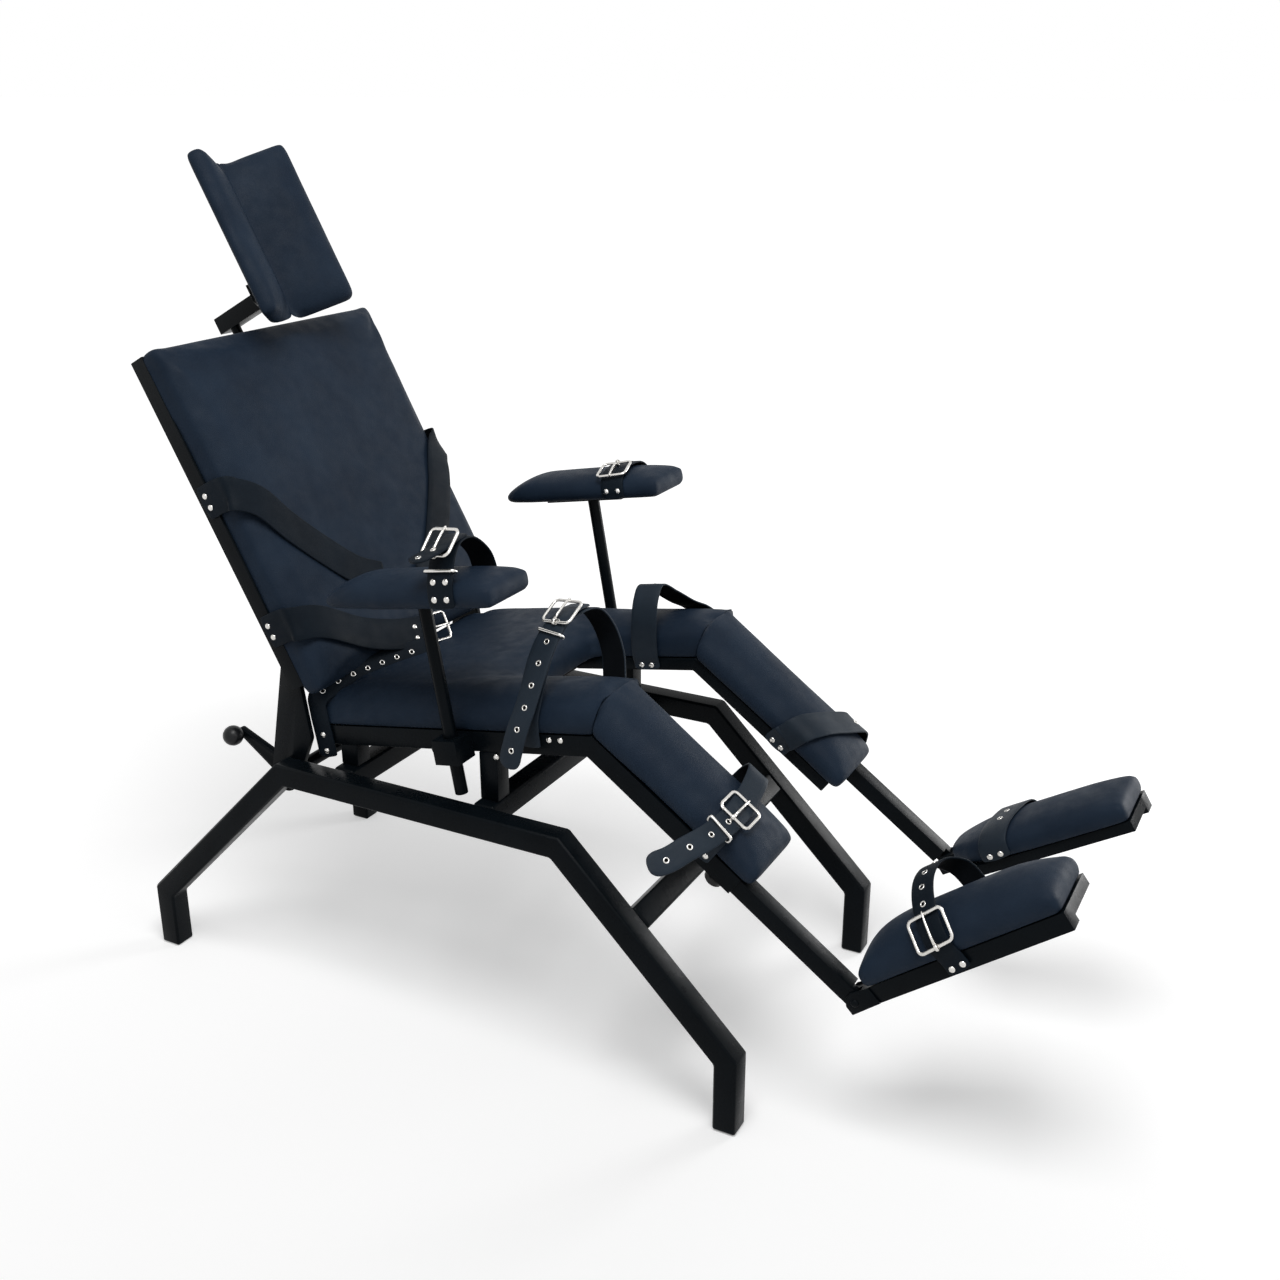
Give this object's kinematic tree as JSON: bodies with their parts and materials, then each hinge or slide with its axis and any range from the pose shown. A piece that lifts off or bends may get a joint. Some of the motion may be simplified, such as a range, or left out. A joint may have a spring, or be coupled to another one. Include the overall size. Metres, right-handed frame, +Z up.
{
  "type": "reclining restraint chair",
  "caption": "Padded reclining chair on a welded tube base, with adjustable headrest, arm rests, telescoping legs with foot plates, and buckled leather straps.",
  "frame": {"origin": "on the floor under the middle of the chair's length and width", "axes": "+X towards the feet, +Y to the sitter's left, +Z up"},
  "size_m": [1.4726, 0.601, 1.2538],
  "materials": {
    "black_powder_coat": "satin",
    "pad_leather": "satin",
    "strap_leather": "satin",
    "black_plastic": "satin"
  },
  "bodies": {
    "base": {"arm_clamp_left": "black_powder_coat", "arm_clamp_right": "black_powder_coat", "base_side_left": "black_powder_coat", "base_side_right": "black_powder_coat", "cross_rail_front": "black_powder_coat", "cross_rail_lower": "black_powder_coat", "cross_rail_rear": "black_powder_coat", "lap_strap_right": "strap_leather", "leg_rail_inner_left": "black_powder_coat", "leg_rail_inner_right": "black_powder_coat", "recline_shaft": "black_powder_coat", "seat_cross_middle": "black_powder_coat", "seat_cross_rear": "black_powder_coat", "seat_pad": "pad_leather", "seat_rail_left": "black_powder_coat", "seat_rail_right": "black_powder_coat", "seat_upright_front_left": "black_powder_coat", "seat_upright_front_right": "black_powder_coat", "seat_upright_rear_left": "black_powder_coat", "seat_upright_rear_right": "black_powder_coat", "shin_pad_left": "pad_leather", "shin_pad_right": "pad_leather", "shin_strap_left": "strap_leather", "shin_strap_right": "strap_leather", "shin_tie_left": "black_powder_coat", "shin_tie_right": "black_powder_coat", "thigh_strap_left": "strap_leather", "thigh_strap_right": "strap_leather"},
    "back": {"back_frame": "black_powder_coat", "back_pad": "pad_leather", "headrest_socket": "black_powder_coat", "chest_strap_left": "strap_leather", "chest_strap_right": "strap_leather", "waist_belt_right": "strap_leather"},
    "headrest": {"headrest_post": "black_powder_coat", "head_pad_left": "pad_leather", "head_pad_right": "pad_leather"},
    "headrest_knob": {"headrest_lock_knob": "black_plastic"},
    "lever": {"recline_lever": "black_powder_coat", "lever_ball": "black_plastic"},
    "arm_post_right": {"arm_post_right": "black_powder_coat"},
    "arm_rest_right": {"arm_plate_right": "black_powder_coat", "arm_pad_right": "pad_leather", "wrist_strap_right": "strap_leather"},
    "arm_screw_right": {"arm_clamp_screw_right": "black_plastic"},
    "leg_knob_right": {"leg_lock_knob_right": "black_plastic"},
    "leg_right": {"leg_tube_right": "black_powder_coat"},
    "foot_right": {"foot_rail_right": "black_powder_coat", "foot_pad_right": "pad_leather", "foot_strap_right": "strap_leather"},
    "arm_post_left": {"arm_post_left": "black_powder_coat"},
    "arm_rest_left": {"arm_plate_left": "black_powder_coat", "arm_pad_left": "pad_leather", "wrist_strap_left": "strap_leather"},
    "arm_screw_left": {"arm_clamp_screw_left": "black_plastic"},
    "leg_knob_left": {"leg_lock_knob_left": "black_plastic"},
    "leg_left": {"leg_tube_left": "black_powder_coat"},
    "foot_left": {"foot_rail_left": "black_powder_coat", "foot_pad_left": "pad_leather", "foot_strap_left": "strap_leather"}
  },
  "joints": [
    {"name": "back_recline", "type": "hinge", "parent": "base", "child": "back", "pos_m": [-0.4643, 0, 0.35525], "axis": [0, -1, 0], "range_deg": [0, 45]},
    {"name": "lever_pull", "type": "hinge", "parent": "base", "child": "lever", "pos_m": [-0.4643, 0, 0.35525], "axis": [0, -1, 0], "range_deg": [0, 40], "stiffness_Nm_per_rad": 1.5, "springref_deg": -28.65},
    {"name": "headrest_height", "type": "slide", "parent": "back", "child": "headrest", "axis": [-0.4726, 0, 0.8813], "range_m": [0, 0.08]},
    {"name": "headrest_knob_turn", "type": "hinge", "parent": "back", "child": "headrest_knob", "pos_m": [-0.67364, 0, 0.91644], "axis": [-0.8813, 0, -0.4726], "continuous": true},
    {"name": "arm_height_right", "type": "slide", "parent": "base", "child": "arm_post_right", "axis": [-0.1693, 0, 0.9856], "range_m": [-0.01, 0.044]},
    {"name": "arm_swivel_right", "type": "hinge", "parent": "arm_post_right", "child": "arm_rest_right", "pos_m": [-0.1806, -0.24, 0.68385], "axis": [-0.1693, 0, 0.9856], "range_deg": [-90, 90]},
    {"name": "arm_screw_turn_right", "type": "hinge", "parent": "base", "child": "arm_screw_right", "pos_m": [-0.16407, -0.24, 0.46955], "axis": [-0.9856, 0, -0.1693], "continuous": true},
    {"name": "leg_length_right", "type": "slide", "parent": "base", "child": "leg_right", "axis": [0.8121, 0, -0.5835], "range_m": [-0.07, 0.07]},
    {"name": "leg_knob_turn_right", "type": "hinge", "parent": "base", "child": "leg_knob_right", "pos_m": [0.25073, -0.2035, 0.35945], "axis": [-0.5835, 0, -0.8121], "continuous": true},
    {"name": "foot_tilt_right", "type": "hinge", "parent": "leg_right", "child": "foot_right", "pos_m": [0.45633, -0.2035, 0.23018], "axis": [0, -1, 0], "range_deg": [-25, 15]},
    {"name": "arm_height_left", "type": "slide", "parent": "base", "child": "arm_post_left", "axis": [-0.1693, 0, 0.9856], "range_m": [-0.044, 0.01]},
    {"name": "arm_swivel_left", "type": "hinge", "parent": "arm_post_left", "child": "arm_rest_left", "pos_m": [-0.18619, 0.24, 0.71637], "axis": [-0.1693, 0, 0.9856], "range_deg": [-90, 90]},
    {"name": "arm_screw_turn_left", "type": "hinge", "parent": "base", "child": "arm_screw_left", "pos_m": [-0.16407, 0.24, 0.46955], "axis": [-0.9856, 0, -0.1693], "continuous": true},
    {"name": "leg_length_left", "type": "slide", "parent": "base", "child": "leg_left", "axis": [0.8121, 0, -0.5835], "range_m": [-0.07, 0.07]},
    {"name": "leg_knob_turn_left", "type": "hinge", "parent": "base", "child": "leg_knob_left", "pos_m": [0.25073, 0.2035, 0.35945], "axis": [-0.5835, 0, -0.8121], "continuous": true},
    {"name": "foot_tilt_left", "type": "hinge", "parent": "leg_left", "child": "foot_left", "pos_m": [0.45633, 0.2035, 0.23018], "axis": [0, -1, 0], "range_deg": [-20, 20]}
  ]
}
